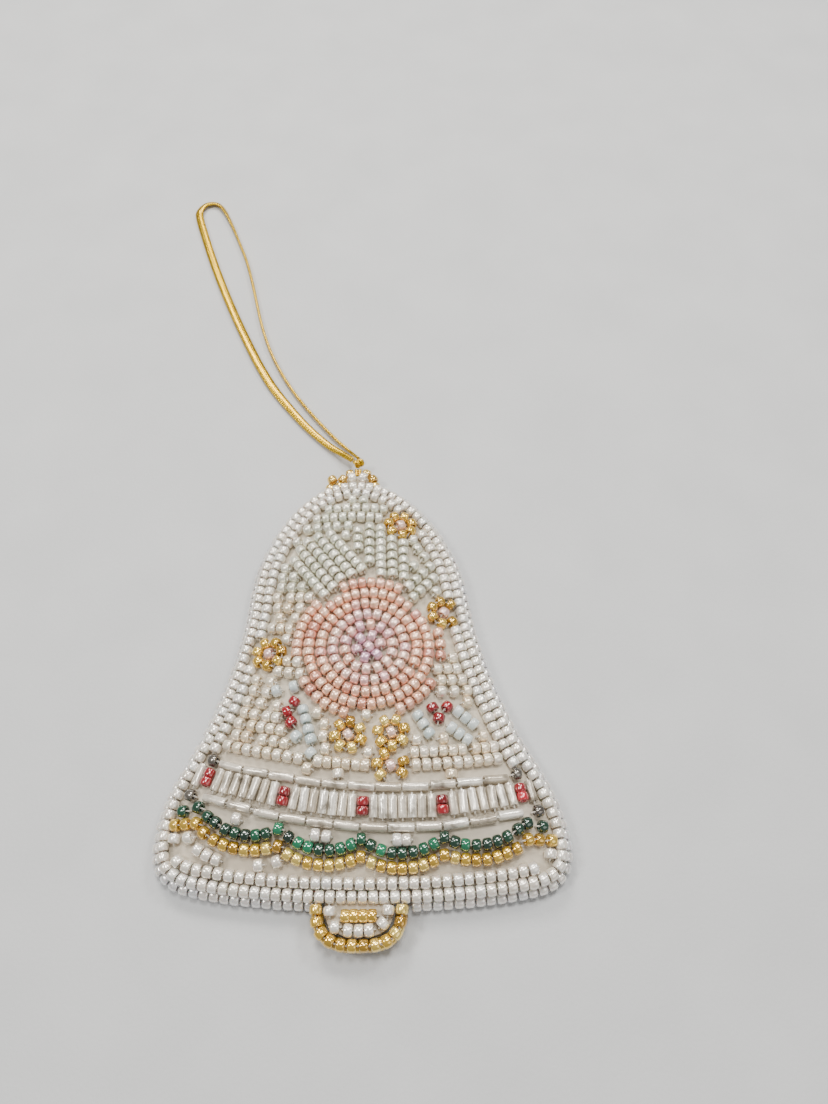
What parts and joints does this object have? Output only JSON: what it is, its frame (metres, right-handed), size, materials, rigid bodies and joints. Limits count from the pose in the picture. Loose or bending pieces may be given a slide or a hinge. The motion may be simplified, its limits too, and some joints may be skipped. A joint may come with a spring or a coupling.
{
  "type": "beaded bell ornament",
  "caption": "Flat padded fabric bell covered in glass seed beads, with a rose, a bugle-bead band, scalloped garlands, a clapper and a gold cord loop to hang it by.",
  "frame": {"origin": "bottom centre of the bell lying on its felt back, measured without the hanging cord", "axes": "+Z out of the beaded front, +Y from the clapper to the crown, +X to the viewer's right when the bell is seen upright from the front"},
  "size_m": [0.0805, 0.1719, 0.0083],
  "materials": {
    "felt": "matte ivory wool felt",
    "filling": "soft white polyester filling",
    "ground": "woven ivory cloth with a slight sheen",
    "edge_bead": "white glass with a faint blue lustre",
    "white_bead": "white glass with a pearl lustre",
    "clear_bead": "pale grey-green glass",
    "cream_bead": "cream glass with a pearl lustre",
    "blush_bead": "blush pink lustred glass",
    "pink_bead": "pale pink lustred glass",
    "lilac_bead": "lilac lined glass",
    "gold_bead": "silver-lined gold glass",
    "red_bead": "silver-lined red glass",
    "aqua_bead": "pale aqua clear glass",
    "bugle": "silver-lined clear glass tube",
    "dark_bugle": "tarnished silver-lined glass",
    "green_bead": "silver-lined emerald glass",
    "pale_gold_bead": "pale gold lined glass",
    "cord": "metallic gold braid"
  },
  "bodies": {
    "bell": {"backing_felt": "felt", "stuffing_pad": "filling", "front_fabric": "ground", "seam_beads": "edge_bead", "outline_beads": "white_bead", "contour_beads": "white_bead", "dome_field_beads": "clear_bead", "side_field_beads": "cream_bead", "skirt_field_beads": "cream_bead", "hem_field_beads": "white_bead", "leaf_beads": "clear_bead", "rose_outer_petals": "blush_bead", "rose_inner_petals": "pink_bead", "rose_heart": "lilac_bead", "gold_flower_petals": "gold_bead", "gold_flower_centres": "pink_bead", "berry_beads": "red_bead", "berry_leaf_beads": "aqua_bead", "upper_rail_bugles": "bugle", "lower_rail_bugles": "bugle", "rail_end_beads": "dark_bugle", "ladder_bugles": "bugle", "ruby_beads": "red_bead", "green_garland": "green_bead", "gold_garland": "gold_bead", "clapper_fabric": "ground", "clapper_pad": "filling", "clapper_seam_beads": "gold_bead", "clapper_rim_beads": "gold_bead", "clapper_pearls": "white_bead", "clapper_gold_bar": "gold_bead", "crown_tab": "ground", "crown_gold_beads": "pale_gold_bead", "crown_pearls": "white_bead", "cord_anchor": "cord"},
    "knot": {"cord_knot": "cord"},
    "loop": {"hanging_loop": "cord"}
  },
  "joints": [
    {"name": "loop_lift", "type": "hinge", "parent": "bell", "child": "knot", "pos_m": [-0.00297, 0.0463, 0.0026], "axis": [1, 0, 0], "range_deg": [-20, 150]},
    {"name": "loop_swing", "type": "hinge", "parent": "knot", "child": "loop", "pos_m": [-0.00297, 0.0463, 0.0026], "axis": [0, 0, 1], "range_deg": [-75, 50]}
  ]
}
